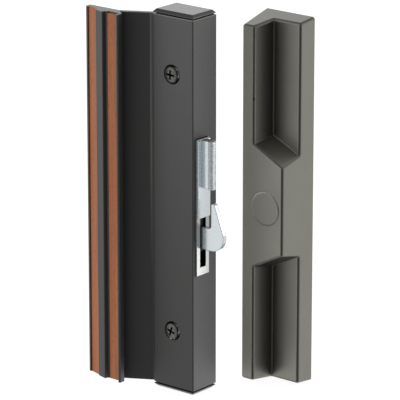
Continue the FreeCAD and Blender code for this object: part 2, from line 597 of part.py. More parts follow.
def make_pull():
    """The cast pull: drafted block with two ramped finger recesses, hollow and bossed at the back."""
    body = new_body("outside_pull", "pull_x", "pull_y", "pull_length/2 - handle_length/2 - cap_height")
    corners = {
        "inner_front": ("0", "0"),
        "inner_back": ("0", "pull_depth"),
        "outer_back": ("-pull_width", "pull_depth"),
        "outer_front": ("-pull_front", "0"),
    }
    section = outline(body, "pull_section", "XY_Plane", corners)
    extrude(body, "Pad", "pull_bar", section, "pull_length", both=True)
    for name, sign in ENDS:
        rake = outline(body, f"{name}_rake_outline", "YZ_Plane", {
            "front": (f"-{SPARE}", f"{sign}(pull_length/2 - (pull_depth + {SPARE})*tan(pull_rake))"),
            "back": ("pull_depth", f"{sign}pull_length/2"),
            "past": (f"-{SPARE}", f"{sign}pull_length/2"),
        })
        extrude(body, "Pocket", f"{name}_rake", rake, f"2*pull_width + {SPARE}", both=True)
    doc.recompute()
    before = body.Tip.Shape.Volume
    wall = f"({RECESS_WALL} + {SPARE}*tan(recess_draft))"
    for name, sign in ENDS:
        mouth = f"block_length/2 - {SPARE}*tan(ramp_back)"
        recess = outline(body, f"{name}_recess_outline", "XZ_Plane", {
            "ramp_in": (f"-{wall}", f"{sign}({mouth} + {wall}*tan(ramp_side))"),
            "ramp_out": (f"{SPARE}", f"{sign}({mouth} - {SPARE}*tan(ramp_side))"),
            "end_out": (f"{SPARE}", f"{sign}(pull_length/2 + {SPARE})"),
            "end_in": (f"-{wall}", f"{sign}(pull_length/2 + {SPARE})"),
        }, f"{SPARE}")
        pocket = extrude(body, "Pocket", f"{name}_recess", recess, f"recess_depth + {SPARE}")
        pocket.UseCustomVector = True
        pocket.Direction = Vector(0, 1, 0)
        bind(pocket, **{"Direction.x": "tan(recess_draft)",
                        "Direction.z": f"{sign}(tan(ramp_back) - tan(recess_draft)*tan(ramp_side))"})
    doc.recompute()
    cut = body.Tip
    if cut.Shape.Volume > before - sheet.get("recess_depth") * sheet.get("pull_length"):
        raise RuntimeError("the finger recesses were not cut")
    deep = sheet.get("recess_depth")
    draft = math.tan(math.radians(sheet.get("recess_draft")))
    foot = sheet.get("pull_rib") - sheet.get("pull_front") + deep * draft
    inner = [corner.Point for corner in cut.Shape.Vertexes
             if abs(corner.X - foot) < CLOSE and abs(corner.Y - deep) < CLOSE
             and abs(corner.Z) < sheet.get("pull_length") / 2 - sheet.get("pull_depth")]
    hollows = [f"Edge{index}" for index, edge in enumerate(cut.Shape.Edges, start=1)
               if any(corner.Point.isEqual(place, CLOSE) for corner in edge.Vertexes for place in inner)]
    softened = fillet(body, "recess_rounded", cut, hollows, "recess_round")
    back = sheet.get("pull_depth") - CLOSE
    sharp = [f"Edge{index}" for index, edge in enumerate(softened.Shape.Edges, start=1)
             if any(corner.Y < back for corner in edge.Vertexes)
             and all(isinstance(face.Surface, Part.Plane)
                     for face in softened.Shape.ancestorsOfType(edge, Part.Face))]
    fillet(body, "pull_rounded", softened, sharp, "pull_round")
    floor = "(recess_depth + pull_wall)"
    side = f"(pull_front + (pull_width - pull_front)*{floor}/pull_depth - pull_wall)"
    end = f"(pull_length/2 - (pull_depth - {floor})*tan(pull_rake) - pull_wall)"
    hollow = rectangle(body, "back_hollow_outline", "XZ_Plane",
                       (f"-{side}", "-pull_wall"), (f"-{end}", end), "-pull_depth")
    extrude(body, "Pocket", "back_hollow", hollow, f"pull_depth - {floor}", flip=True)
    half = "(block_length/2 - pull_wall)"
    deep = rectangle(body, "block_hollow_outline", "XZ_Plane", ("pull_wall - pull_front", "-pull_wall"),
                     (f"-{half}", half), "-pull_depth")
    extrude(body, "Pocket", "block_hollow", deep, "pull_depth - pull_wall", flip=True)
    for name, sign in ENDS:
        place = ("-pull_width/2", "recess_depth + pull_wall/2", f"{sign}screw_spacing/2")
        primitive(body, "AdditiveCylinder", f"{name}_boss",
                  {"Radius": "boss_radius", "Height": "pull_depth - recess_depth - pull_wall/2"},
                  place, (Vector(1, 0, 0), -90))
        primitive(body, "SubtractiveCylinder", f"{name}_tapped_hole",
                  {"Radius": "tap_radius", "Height": f"tap_depth + {SPARE}"},
                  (place[0], "pull_depth - tap_depth", place[2]), (Vector(1, 0, 0), -90))
    primitive(body, "SubtractiveTorus", "knock_out_line",
              {"Radius1": "knock_radius", "Radius2": "score_radius"},
              ("-knock_inset", "0", "0"), (Vector(1, 0, 0), 90))
    return body


def main():
    """Builds every piece, checks it and writes one file for each."""
    make_extrusion()
    make_cap("top_end_cap", "", None)
    make_cap("bottom_end_cap", "-", (Vector(0, 1, 0), 180))
    make_inner_strip()
    make_outer_strip()
    make_screw("upper_screw", "", "upper_turn")
    make_screw("lower_screw", "-", "lower_turn")
    make_case()
    make_spring()
    make_slide()
    make_keeper()
    make_hook()
    make_pull()
    doc.recompute()
    faults = [item.Label for item in doc.Objects if {"Invalid", "Error"} & set(item.State)]
    bodies = [item for item in doc.Objects if item.isDerivedFrom("PartDesign::Body")]
    faults += [body.Label for body in bodies
               if body.Shape.isNull() or not body.Shape.isValid() or len(body.Shape.Solids) != 1]
    if faults:
        raise RuntimeError(f"pieces that did not build: {faults}")
    os.makedirs("parts", exist_ok=True)
    for body in bodies:
        body.Shape.exportStep(f"parts/{body.Label}.step")
        box = body.Shape.BoundBox
        print(f"{body.Label:20s} volume {body.Shape.Volume:9.1f}  x {box.XMin:7.2f} {box.XMax:7.2f}"
              f"  y {box.YMin:7.2f} {box.YMax:7.2f}  z {box.ZMin:7.2f} {box.ZMax:7.2f}")


main()
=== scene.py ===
"""Looks of a sliding patio door handle set: inside handle, its hook latch and the outside pull.

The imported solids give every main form. This script gives them their finishes, cuts real threads
on the two mounting screws, and sets the floor, the soft lights and the camera.
"""
from __future__ import annotations

import logging
import math
from dataclasses import dataclass
from enum import Enum

import bmesh
import bpy
from mathutils import Matrix, Vector

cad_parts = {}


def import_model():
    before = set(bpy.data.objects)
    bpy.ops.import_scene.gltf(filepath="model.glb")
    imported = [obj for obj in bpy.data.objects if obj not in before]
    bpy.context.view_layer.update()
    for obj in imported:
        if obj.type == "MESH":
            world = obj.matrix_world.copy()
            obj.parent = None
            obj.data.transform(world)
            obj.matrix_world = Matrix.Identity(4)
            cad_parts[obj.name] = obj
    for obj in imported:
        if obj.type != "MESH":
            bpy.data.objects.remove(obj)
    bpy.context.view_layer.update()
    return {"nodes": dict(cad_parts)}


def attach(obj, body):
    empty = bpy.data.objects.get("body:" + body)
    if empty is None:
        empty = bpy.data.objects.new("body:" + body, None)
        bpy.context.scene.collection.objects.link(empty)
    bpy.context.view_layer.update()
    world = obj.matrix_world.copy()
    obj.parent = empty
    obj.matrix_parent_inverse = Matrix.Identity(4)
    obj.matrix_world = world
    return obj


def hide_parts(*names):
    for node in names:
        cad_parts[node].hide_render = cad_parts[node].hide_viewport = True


MM = 0.001
LOG = logging.getLogger("patio_door_handle")

Span = tuple[float, float]
Triple = tuple[float, float, float]
Chip = tuple[float, float, float, float]
Colour = tuple[float, float, float, float]
SocketValue = bpy.types.NodeSocket | float | tuple[float, ...] | Vector

WHITE = "#ffffff"
NOISE_SPAN: Span = (0.3, 0.7)  # most values of a noise lie in here
BEVEL_SAMPLES = 6
MIX_UNDER, MIX_OVER, MIX_RESULT = 6, 7, 2  # colour sockets of a Mix node
BLEND_UNDER, BLEND_OVER, BLEND_RESULT = 2, 3, 0  # its number sockets
ACROSS: Triple = (1.0, 1.0, 0.0)  # leaves out the length of the handle


class Solid(Enum):
    """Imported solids, by the names of their nodes."""

    SECTION = "handle_extrusion"
    TOP_CAP = "top_end_cap"
    BOTTOM_CAP = "bottom_end_cap"
    INNER_STRIP = "inner_wood_strip"
    OUTER_STRIP = "outer_wood_strip"
    UPPER_SCREW = "upper_screw"
    LOWER_SCREW = "lower_screw"
    CASE = "latch_case"
    SPRING = "friction_spring"
    SLIDE = "latch_slide"
    KEEPER = "slide_keeper"
    HOOK = "latch_hook"
    PULL = "outside_pull"


class SurfaceNormal(Enum):
    """Normals that a surface can be held against, by their names in Geometry."""

    SHADED = "Normal"
    TRUE = "True Normal"


def linear(code: str) -> Colour:
    """Turns an sRGB hex colour into linear values.

    Args:
        code: Colour such as "#a0b0c0".

    Returns:
        Red, green, blue and an alpha of one.
    """
    parts = [int(code[i:i + 2], 16) / 255 for i in (1, 3, 5)]
    red, green, blue = (p / 12.92 if p <= 0.04045 else ((p + 0.055) / 1.055) ** 2.4 for p in parts)
    return red, green, blue, 1.0


def span(ends: Span) -> dict[str, float]:
    """Names two values as the range that a Map Range node reads."""
    return {"From Min": ends[0], "From Max": ends[1]}


def feed(tree: bpy.types.NodeTree, node: bpy.types.Node,
         inputs: dict[str | int, SocketValue]) -> None:
    """Sets or links inputs of a node.

    Args:
        tree: Node tree that holds the node.
        node: Node that is fed.
        inputs: Values or output sockets for the node's inputs, by name or number.
    """
    for key, value in inputs.items():
        if isinstance(value, bpy.types.NodeSocket):
            tree.links.new(value, node.inputs[key])
        else:
            node.inputs[key].default_value = value


def add_node(tree: bpy.types.NodeTree, kind: str,
             inputs: dict[str | int, SocketValue] | None = None,
             **settings: object) -> bpy.types.Node:
    """Adds a node with its settings, values and links.

    Args:
        tree: Node tree that gets the node.
        kind: Type name of the node, without its "ShaderNode" prefix.
        inputs: Values or output sockets for the node's inputs, by name or number.
        **settings: Properties of the node itself.

    Returns:
        The new node.
    """
    node = tree.nodes.new(f"ShaderNode{kind}")
    for name, value in settings.items():
        setattr(node, name, value)
    feed(tree, node, inputs or {})
    return node


@dataclass(frozen=True)
class Grain:
    """Fine grain of a surface: size and depth in millimetres, roughness at its lows and highs."""

    size: float
    octaves: float
    roughness: Span
    bump: float
    depth: float


@dataclass(frozen=True)
class EdgeZone:
    """Zone along sharp edges, in millimetres; turn is the cosine where it starts and is full."""

    width: float = 0.35
    turn: Span = (0.97, 0.8)
    strength: float = 0.75
    samples: int = 8
    normal: SurfaceNormal = SurfaceNormal.TRUE


@dataclass(frozen=True)
class Finish:
    """What every finish shares: a name and node patterns in millimetres of the object."""

    name: str

    def begin(self) -> tuple[bpy.types.Material, bpy.types.NodeTree, bpy.types.Node,
                             bpy.types.NodeSocket]:
        """Makes an empty material with its shader.

        Returns:
            The material, its tree, its shader and Object coordinates in millimetres.
        """
        material = bpy.data.materials.new(self.name)
        material.use_nodes = True
        tree = material.node_tree
        tree.nodes.clear()
        shader = add_node(tree, "BsdfPrincipled")
        add_node(tree, "OutputMaterial", {"Surface": shader.outputs["BSDF"]})
        coordinates = add_node(tree, "TexCoord")
        scaled = add_node(tree, "Mapping", {"Vector": coordinates.outputs["Object"],
                                            "Scale": (1 / MM,) * 3})
        return material, tree, shader, scaled.outputs["Vector"]

    def stretched(self, tree: bpy.types.NodeTree, place: bpy.types.NodeSocket,
                  size: Triple | float, octaves: float = 2.0) -> bpy.types.NodeSocket:
        """Adds a noise whose grain may have its own size along each axis.

        Args:
            tree: Node tree.
            place: Coordinates in millimetres.
            size: Size of the grain in millimetres, one for all axes or one for each.
            octaves: Octaves of the noise.

        Returns:
            The noise value, from zero to one.
        """
        sizes = size if isinstance(size, tuple) else (size,) * 3
        sized = add_node(tree, "Mapping", {"Vector": place,
                                           "Scale": tuple(1 / length for length in sizes)})
        noise = add_node(tree, "TexNoise", {"Vector": sized.outputs["Vector"], "Scale": 1.0,
                                            "Detail": octaves})
        return noise.outputs["Fac"]

    def grained(self, tree: bpy.types.NodeTree, place: bpy.types.NodeSocket, grain: Grain,
                edge: SocketValue) -> tuple[bpy.types.NodeSocket, bpy.types.NodeSocket]:
        """Adds a fine grain over softened edges.

        Args:
            tree: Node tree.
            place: Coordinates in millimetres.
            grain: What the grain is like.
            edge: Radius of the softened edges, in metres.

        Returns:
            The roughness and the normal.
        """
        height = self.stretched(tree, place, grain.size, grain.octaves)
        rough = add_node(tree, "MapRange", {"Value": height, **span(NOISE_SPAN),
                                            "To Min": grain.roughness[0],
                                            "To Max": grain.roughness[1]})
        soft = add_node(tree, "Bevel", {"Radius": edge}, samples=BEVEL_SAMPLES)
        bump = add_node(tree, "Bump", {"Height": height, "Strength": grain.bump,
                                       "Distance": grain.depth * MM,
                                       "Normal": soft.outputs["Normal"]})
        return rough.outputs["Result"], bump.outputs["Normal"]

    def near_edges(self, tree: bpy.types.NodeTree, zone: EdgeZone) -> bpy.types.NodeSocket:
        """Finds the surface's sharp edges.

        Args:
            tree: Node tree.
            zone: How far the edges reach.

        Returns:
            A value that is zero on flats and rises towards the edges.
        """
        rounded = add_node(tree, "Bevel", {"Radius": zone.width * MM}, samples=zone.samples)
        shape = add_node(tree, "NewGeometry")
        turned = add_node(tree, "VectorMath", {0: rounded.outputs["Normal"],
                                               1: shape.outputs[zone.normal.value]},
                          operation="DOT_PRODUCT")
        edge = add_node(tree, "MapRange", {"Value": turned.outputs["Value"], **span(zone.turn),
                                           "To Max": zone.strength})
        return edge.outputs["Result"]

    def layers(self, tree: bpy.types.NodeTree, ground: str,
               coats: list[tuple[SocketValue, str]]) -> SocketValue:
        """Lays colours over one another, each where its mask says so.

        Args:
            tree: Node tree.
            ground: Colour underneath.
            coats: Mask and colour of each layer, from the lowest up.

        Returns:
            The colour of the surface.
        """
        colour: SocketValue = linear(ground)
        for mask, code in coats:
            mix = add_node(tree, "Mix", {"Factor": mask, MIX_UNDER: colour,
                                         MIX_OVER: linear(code)}, data_type="RGBA")
            colour = mix.outputs[MIX_RESULT]
        return colour


@dataclass(frozen=True)
class AnodisedAluminium(Finish):
    """Extruded aluminium, etched and anodised black: satin, with faint die lines along it.

    Its worn edges, the line where the web meets the box and its saw-cut top end have painted
    highlights.
    """

    colour: str = "#181817"
    streak: str = "#1d1d1c"
    die_line: Triple = (0.7, 0.7, 90.0)
    # Real etch is finer; this is as coarse as it needs to show.
    etch: Grain = Grain(size=0.35, octaves=3.0, roughness=(0.45, 0.55), bump=0.04, depth=0.1)
    soft_edge: float = 0.25
    ior: float = 1.62
    # Worn edges, lightened further as a painted edge highlight; this colour also paints the
    # highlight line where the web meets the box.
    edge_wear_and_highlight: str = "#4a4a47"
    edge: EdgeZone = EdgeZone(width=0.35, turn=(0.999, 0.85), strength=0.35,
                              samples=BEVEL_SAMPLES, normal=SurfaceNormal.SHADED)
    # Painted highlight along where the web meets the box: full high up, fading out downward.
    highlit_foot: Triple = (-12.8, -16.25, 0.0)
    highlit_foot_width: Span = (0.6, 0.3)
    highlit_foot_span: Span = (-40.0, 20.0)
    # Top end cut bare by the saw, with a painted highlight along its edge; only the top end has
    # it.
    bare_end_and_highlight_colour: str = "#8c8c88"
    bare_end_and_highlight_span: Span = (89.9, 90.25)
    bare_end_and_highlight_strength: float = 0.8

    def build(self) -> bpy.types.Material:
        """Makes the material.

        Returns:
            The finished material.
        """
        material, tree, shader, place = self.begin()
        lines = self.stretched(tree, place, self.die_line)
        rough, normal = self.grained(tree, place, self.etch, self.soft_edge * MM)
        axes = add_node(tree, "SeparateXYZ", {"Vector": place})
        # Bare saw-cut metal plus a painted highlight along the top end.
        bare_end_and_highlight = add_node(tree, "MapRange", {"Value": axes.outputs["Z"], **span(self.bare_end_and_highlight_span),
                                           "To Max": self.bare_end_and_highlight_strength})
        # Painted highlight along where the web meets the box, fading out downward.
        flat = add_node(tree, "VectorMath", {0: place, 1: ACROSS}, operation="MULTIPLY")
        beside = add_node(tree, "VectorMath", {0: flat.outputs["Vector"], 1: self.highlit_foot},
                          operation="DISTANCE")
        line = add_node(tree, "MapRange", {"Value": beside.outputs["Value"],
                                           **span(self.highlit_foot_width)})
        upper = add_node(tree, "MapRange", {"Value": axes.outputs["Z"], **span(self.highlit_foot_span)})
        painted_light = add_node(tree, "Math", {0: line.outputs["Result"], 1: upper.outputs["Result"]},
                          operation="MULTIPLY")
        # Edges lighter: worn metal plus painted highlight.
        colour = self.layers(tree, self.colour, [
            (lines, self.streak), (self.near_edges(tree, self.edge), self.edge_wear_and_highlight),
            (painted_light.outputs[0], self.edge_wear_and_highlight), (bare_end_and_highlight.outputs["Result"], self.bare_end_and_highlight_colour)])
        feed(tree, shader, {"Base Color": colour, "Roughness": rough, "Normal": normal,
                            "IOR": self.ior})
        return material


@dataclass(frozen=True)
class MouldedPlastic(Finish):
    """Injection-moulded black plastic: a soft sheen, a fine spark-eroded grain and a painted
    shadow in the gap against the section.
    """

    colour: str = "#1b1b1a"
    shade: str = "#20201f"
    patch: float = 6.0
    eroded: Grain = Grain(size=0.4, octaves=2.0, roughness=(0.26, 0.34), bump=0.06, depth=0.1)
    soft_edge: float = 0.3
    ior: float = 1.75
    # Painted shadow of the gap against the section: black between the given heights.
    gap_shadow_colour: str = "#050505"
    gap_shadow_span: Span = (0.0, 90.95)
    gap_shadow_strength: float = 1.0

    def build(self) -> bpy.types.Material:
        """Makes the material.

        Returns:
            The finished material.
        """
        material, tree, shader, place = self.begin()
        rough, normal = self.grained(tree, place, self.eroded, self.soft_edge * MM)
        patches = self.stretched(tree, place, self.patch)
        axes = add_node(tree, "SeparateXYZ", {"Vector": place})
        above = add_node(tree, "Math", {0: axes.outputs["Z"], 1: self.gap_shadow_span[0]},
                         operation="GREATER_THAN")
        below = add_node(tree, "Math", {0: axes.outputs["Z"], 1: self.gap_shadow_span[1]},
                         operation="LESS_THAN")
        within = add_node(tree, "Math", {0: above.outputs[0], 1: below.outputs[0]},
                          operation="MULTIPLY")
        gap_shadow = add_node(tree, "Math", {0: within.outputs[0], 1: self.gap_shadow_strength},
                        operation="MULTIPLY")
        colour = self.layers(tree, self.colour, [(patches, self.shade),
                                                 (gap_shadow.outputs[0], self.gap_shadow_colour)])
        # Painted shadow in the gap against the section: black, and metallic with no colour so that
        # it loses its sheen.
        feed(tree, shader, {"Base Color": colour, "Metallic": gap_shadow.outputs[0],
                            "Roughness": rough, "Normal": normal, "IOR": self.ior})
        return material


@dataclass(frozen=True)
class OiledHardwood(Finish):
    """Reddish hardwood strip, oiled: fine straight grain along its length with darker pores."""

    deep: str = "#9a552d"
    pale: str = "#b0683a"
    pore: str = "#4e2611"
    grain: Triple = (0.8, 0.8, 34.0)
    grain_octaves: float = 4.0
    pores: Triple = (0.4, 0.4, 1.6)
    pore_span: Span = (0.6, 0.72)
    pore_strength: float = 0.7
    pore_bump: float = 0.25
    pore_depth: float = 0.1
    roughness: float = 0.5

    def build(self) -> bpy.types.Material:
        """Makes the material.

        Returns:
            The finished material.
        """
        material, tree, shader, place = self.begin()
        rings = self.stretched(tree, place, self.grain, self.grain_octaves)
        spread = add_node(tree, "MapRange", {"Value": rings, **span(NOISE_SPAN)})
        fleck = self.stretched(tree, place, self.pores)
        pored = add_node(tree, "MapRange", {"Value": fleck, **span(self.pore_span),
                                            "To Max": self.pore_strength})
        colour = self.layers(tree, self.deep, [(spread.outputs["Result"], self.pale),
                                               (pored.outputs["Result"], self.pore)])
        bump = add_node(tree, "Bump", {"Height": fleck, "Strength": self.pore_bump,
                                       "Distance": self.pore_depth * MM}, invert=True)
        feed(tree, shader, {"Base Color": colour, "Normal": bump.outputs["Normal"],
                            "Roughness": self.roughness})
        return material


@dataclass(frozen=True)
class ZincPlate(Finish):
    """Pressed steel with bright zinc plate: a cool mirror softened by a fine crystalline grain."""

    colour: str = "#dce1e3"
    shade: str = "#ccd3d5"
    spangle: float = 1.2
    crystal: Grain = Grain(size=0.3, octaves=3.0, roughness=(0.15, 0.28), bump=0.05, depth=0.05)
    soft_edge: float = 0.35
    metal: float = 0.85
    # Painted shade: the metal inside the guide slot is coloured near black.
    slot_shade_colour: str = "#141615"
    slot_middle: Triple = (9.85, -10.75, 0.0)
    slot_half: Triple = (4.05, 3.75, 39.3)
    slot_fade: Span = (0.04, 0.0)
    nose_x: float = 18.6
    nose_low_z: float = 8.0
    nose_dulling: float = 0.3
    serration: Triple = (1.6, 1.6, 0.55)
    serration_octaves: float = 1.0
    serration_bump: float = 0.8
    serration_depth: float = 0.2
    # Painted shade in the grooves between the nose's serrations, greying its bright band.
    groove_shade_colour: str = "#a0a2a1"
    groove_shade_span: Span = (0.1, 0.7)
    groove_shade_strength: float = 0.95
    # Painted shade: a thin dark line along the sharp edges.
    edge_line_shade: str = "#3c4042"
    edge_shade: EdgeZone = EdgeZone()
    # Painted shade: the outward-facing rim below the slope is coloured greyer, up to the given
    # strength.
    painted_light: str = "#949698"
    rim_shade_strength: float = 0.0
    rim_shade_outward: Span = (0.5, 0.95)
    rim_shade_level: Span = (0.34, 0.2)

    def shade_in_slot(self, tree: bpy.types.NodeTree,
                place: bpy.types.NodeSocket) -> bpy.types.NodeSocket:
        """Finds what lies inside the guide slot, which is painted dark as shade.

        Args:
            tree: Node tree.
            place: Coordinates in millimetres.

        Returns:
            One inside the slot and zero elsewhere.
        """
        away = add_node(tree, "VectorMath", {0: place, 1: self.slot_middle}, operation="SUBTRACT")
        apart = add_node(tree, "VectorMath", {0: away.outputs["Vector"]}, operation="ABSOLUTE")
        past = add_node(tree, "VectorMath", {0: apart.outputs["Vector"], 1: self.slot_half},
                        operation="SUBTRACT")
        outside = add_node(tree, "VectorMath", {0: past.outputs["Vector"], 1: (0.0, 0.0, 0.0)},
                           operation="MAXIMUM")
        length = add_node(tree, "VectorMath", {0: outside.outputs["Vector"]}, operation="LENGTH")
        inside = add_node(tree, "MapRange", {"Value": length.outputs["Value"],
                                             **span(self.slot_fade)})
        return inside.outputs["Result"]

    def on_nose(self, tree: bpy.types.NodeTree,
                place: bpy.types.NodeSocket) -> bpy.types.NodeSocket:
        """Finds the serrated nose of the thumb tab.

        Args:
            tree: Node tree.
            place: Coordinates in millimetres.

        Returns:
            One on the nose and zero elsewhere.
        """
        axes = add_node(tree, "SeparateXYZ", {"Vector": place})
        out = add_node(tree, "Math", {0: axes.outputs["X"], 1: self.nose_x},
                       operation="GREATER_THAN")
        high = add_node(tree, "Math", {0: axes.outputs["Z"], 1: self.nose_low_z},
                        operation="GREATER_THAN")
        nose = add_node(tree, "Math", {0: out.outputs[0], 1: high.outputs[0]},
                        operation="MULTIPLY")
        return nose.outputs[0]

    def shaded_rim(self, tree: bpy.types.NodeTree) -> bpy.types.NodeSocket:
        """Finds the outward-facing rim below the slope, which has painted shade.

        Args:
            tree: Node tree.

        Returns:
            How strong the painted shade is, up to the finish's own strength.
        """
        shape = add_node(tree, "NewGeometry")
        facing = add_node(tree, "SeparateXYZ", {"Vector": shape.outputs["True Normal"]})
        outward = add_node(tree, "MapRange", {"Value": facing.outputs["X"],
                                              **span(self.rim_shade_outward), "To Max": self.rim_shade_strength})
        level = add_node(tree, "MapRange", {"Value": facing.outputs["Z"], **span(self.rim_shade_level)})
        worn = add_node(tree, "Math", {0: outward.outputs["Result"], 1: level.outputs["Result"]},
                        operation="MULTIPLY")
        return worn.outputs[0]

    def build(self) -> bpy.types.Material:
        """Makes the material.

        Returns:
            The finished material.
        """
        material, tree, shader, place = self.begin()
        patches = self.stretched(tree, place, self.spangle)
        rough, normal = self.grained(tree, place, self.crystal, self.soft_edge * MM)
        nose = self.on_nose(tree, place)
        teeth = self.stretched(tree, place, self.serration, self.serration_octaves)
        cut = add_node(tree, "Math", {0: teeth, 1: nose}, operation="MULTIPLY")
        serrated = add_node(tree, "Bump", {"Height": cut.outputs[0],
                                           "Strength": self.serration_bump,
                                           "Distance": self.serration_depth * MM,
                                           "Normal": normal})
        # Painted shade in the grooves between the serrations.
        groove_shade = add_node(tree, "MapRange", {"Value": cut.outputs[0], **span(self.groove_shade_span),
                                             "To Max": self.groove_shade_strength})
        dulled = add_node(tree, "Math", {0: nose, 1: self.nose_dulling, 2: rough},
                          operation="MULTIPLY_ADD")
        # Painted shade: a thin dark line along the sharp edges.
        colour = self.layers(tree, self.colour, [
            (patches, self.shade), (self.shade_in_slot(tree, place), self.slot_shade_colour),
            (groove_shade.outputs["Result"], self.groove_shade_colour),
            (self.near_edges(tree, self.edge_shade), self.edge_line_shade),
            (self.shaded_rim(tree), self.painted_light)])
        feed(tree, shader, {"Base Color": colour, "Roughness": dulled.outputs[0],
                            "Normal": serrated.outputs["Normal"], "Metallic": self.metal})
        return material


@dataclass(frozen=True)
class BlackedSteel(Finish):
    """Steel screw with thin black paint that has chipped to bright metal round its rim.

    Each chip is a place and a radius in millimetres.
    """

    chips: tuple[Chip, ...] = ()
    colour: str = "#666663"
    shade: str = "#6e6e6b"
    patch: float = 2.0
    bare: str = "#e4e4e0"
    ragged: float = 0.9
    ragged_size: float = 0.5
    chip_fade: float = 0.15
    # Painted shade in the head's recess: near black, darker the deeper it goes.
    recess_shade: str = "#0c0c0c"
    recess_span: Span = (-17.45, -17.15)
    shank_y: float = -12.5
    soft_edge: float = 0.2
    roughness: float = 0.36

    def build(self) -> bpy.types.Material:
        """Makes the material.

        Returns:
            The finished material.
        """
        material, tree, shader, place = self.begin()
        noise = self.stretched(tree, place, self.ragged_size)
        jitter = add_node(tree, "Math", {0: noise, 1: self.ragged, 2: -self.ragged / 2},
                          operation="MULTIPLY_ADD")
        bare: SocketValue = 0.0
        for x, y, z, radius in self.chips:
            away = add_node(tree, "VectorMath", {0: place, 1: (x, y, z)}, operation="DISTANCE")
            ragged = add_node(tree, "Math", {0: away.outputs["Value"], 1: jitter.outputs[0]},
                              operation="ADD")
            inside = add_node(tree, "MapRange", {"Value": ragged.outputs[0],
                                                 **span((radius, radius - self.chip_fade))})
            joined = add_node(tree, "Math", {0: bare, 1: inside.outputs["Result"]},
                              operation="MAXIMUM")
            bare = joined.outputs[0]
        patches = self.stretched(tree, place, self.patch)
        axes = add_node(tree, "SeparateXYZ", {"Vector": place})
        deep = add_node(tree, "MapRange", {"Value": axes.outputs["Y"], **span(self.recess_span)})
        head = add_node(tree, "Math", {0: axes.outputs["Y"], 1: self.shank_y},
                        operation="LESS_THAN")
        recess = add_node(tree, "Math", {0: deep.outputs["Result"], 1: head.outputs[0]},
                          operation="MULTIPLY")
        # Painted shade in the head's recess.
        colour = self.layers(tree, self.colour, [(patches, self.shade),
                                                 (recess.outputs[0], self.recess_shade),
                                                 (bare, self.bare)])
        soft = add_node(tree, "Bevel", {"Radius": self.soft_edge * MM}, samples=BEVEL_SAMPLES)
        feed(tree, shader, {"Base Color": colour, "Normal": soft.outputs["Normal"],
                            "Roughness": self.roughness, "Metallic": 1.0})
        return material


